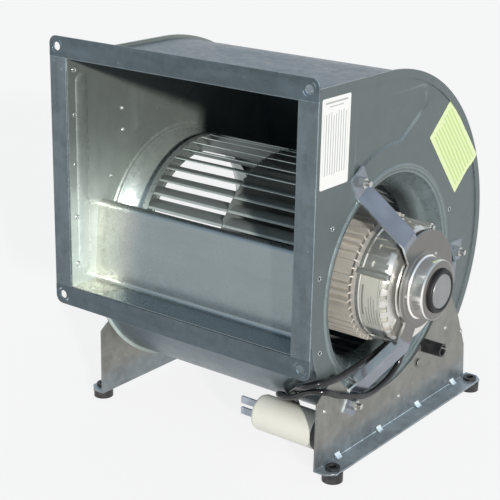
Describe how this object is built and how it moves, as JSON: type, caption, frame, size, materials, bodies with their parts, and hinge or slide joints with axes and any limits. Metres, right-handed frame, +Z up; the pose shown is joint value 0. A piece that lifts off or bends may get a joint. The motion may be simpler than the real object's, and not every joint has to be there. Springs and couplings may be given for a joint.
{
  "type": "centrifugal blower",
  "caption": "Double-inlet centrifugal blower: galvanised scroll housing, forward-curved drum impeller, direct-drive motor hung in one inlet, on feet with rubber buffers.",
  "frame": {"origin": "middle of the four foot bolts on the underside of the rubber buffers", "axes": "+X along the shaft from the free inlet to the motor, -Y out of the outlet, +Z up"},
  "size_m": [0.3863, 0.3757, 0.436],
  "materials": {
    "galvanised": "spangled hot-dip galvanised sheet, satin",
    "zinc_sheet": "bright zinc-plated pressed steel",
    "zinc_fasteners": "bright zinc-plated, shiny",
    "blade_sheet": "bright galvanised strip",
    "rubber": "black, matte to satin",
    "motor_alloy": "die-cast, satin",
    "core_steel": "bare laminations",
    "copper": "varnished copper wire",
    "bearing_steel": "ground steel",
    "capacitor_case": "off-white, semi-gloss"
  },
  "bodies": {
    "housing": {"scroll_wrap": "galvanised", "cutoff_plate": "galvanised", "side_plate_left": "galvanised", "side_plate_right": "galvanised", "flange_top": "galvanised", "flange_bottom": "galvanised", "flange_left": "galvanised", "flange_right": "galvanised", "foot_left": "galvanised", "foot_right": "galvanised", "foot_buffers": "rubber", "foot_bolts": "zinc_fasteners", "foot_rivets": "zinc_fasteners", "motor_spider": "zinc_sheet", "spider_collar": "zinc_sheet", "spider_rivets": "zinc_fasteners", "rubber_ring": "rubber", "arm_bolts": "zinc_fasteners", "arm_nuts": "zinc_fasteners", "motor_end_shell": "motor_alloy", "motor_drive_shell": "motor_alloy", "motor_screws": "zinc_fasteners", "stator_core": "core_steel", "stator_windings": "copper", "bearings": "bearing_steel", "capacitor": "capacitor_case", "capacitor_base": "rubber", "capacitor_tabs": "zinc_fasteners", "cable_gland": "rubber", "lead_grommets": "rubber", "supply_lead": "rubber", "start_lead": "rubber", "lead_connector": "rubber"},
    "rotor": {"shaft": "bearing_steel", "rotor_core": "core_steel", "impeller_hub": "zinc_sheet", "hub_screw": "zinc_fasteners", "centre_disc": "galvanised", "blades_left": "blade_sheet", "blades_right": "blade_sheet", "end_ring_left": "blade_sheet", "end_ring_right": "blade_sheet"}
  },
  "joints": [
    {"name": "fan_spin", "type": "hinge", "parent": "housing", "child": "rotor", "pos_m": [0, -0.031, 0.19], "axis": [1, 0, 0], "continuous": true}
  ]
}
